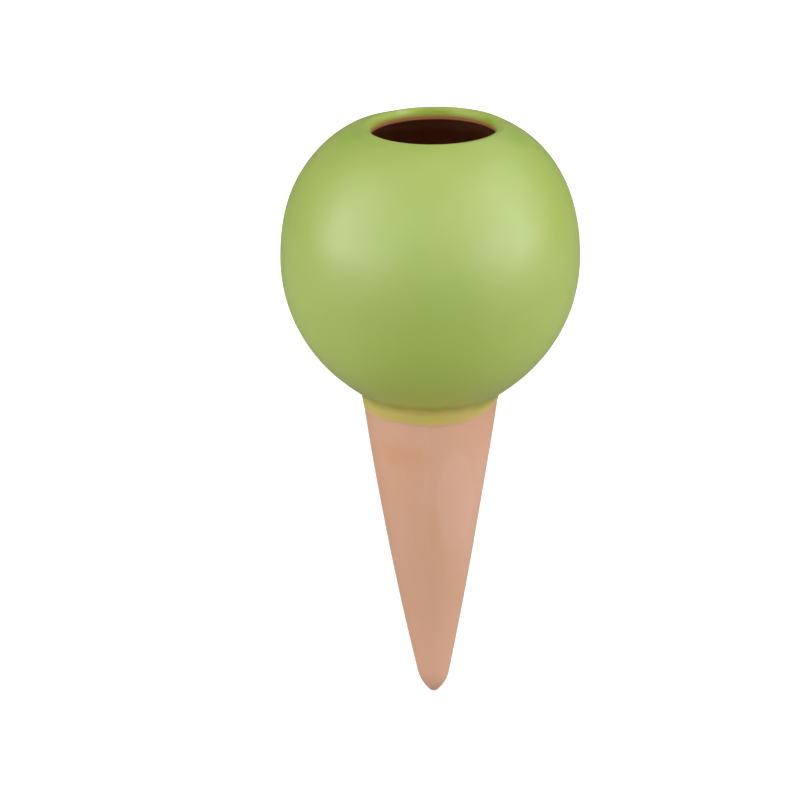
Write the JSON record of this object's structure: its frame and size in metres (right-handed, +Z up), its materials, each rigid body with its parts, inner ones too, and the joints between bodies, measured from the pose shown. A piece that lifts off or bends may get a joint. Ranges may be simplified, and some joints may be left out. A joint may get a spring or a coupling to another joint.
{
  "type": "self watering spike",
  "caption": "Hollow glazed clay ball with an open mouth on a bare porous hollow clay cone, which is pushed into soil and lets water seep out.",
  "frame": {"origin": "on the axis, at the crease between ball and cone, where the soil ends once the spike is pushed in", "axes": "+Z up along the axis of turning, out of the mouth; the cone points down"},
  "size_m": [0.09, 0.09, 0.18],
  "materials": {
    "cast_clay": "unglazed fired clay, seen only inside the mouth",
    "porous_clay": "matte bare terracotta",
    "slip": "fired slip",
    "green_glaze": "satin lime green glaze",
    "neck_glaze": "satin green glaze, thinner",
    "thin_glaze": "thin yellow green glaze over clay"
  },
  "bodies": {
    "root": {"reservoir_ball": "cast_clay", "spike_cone": "porous_clay", "slip_seam": "slip", "ball_glaze": "green_glaze", "neck_glaze": "neck_glaze", "glaze_margin": "thin_glaze"}
  },
  "joints": []
}
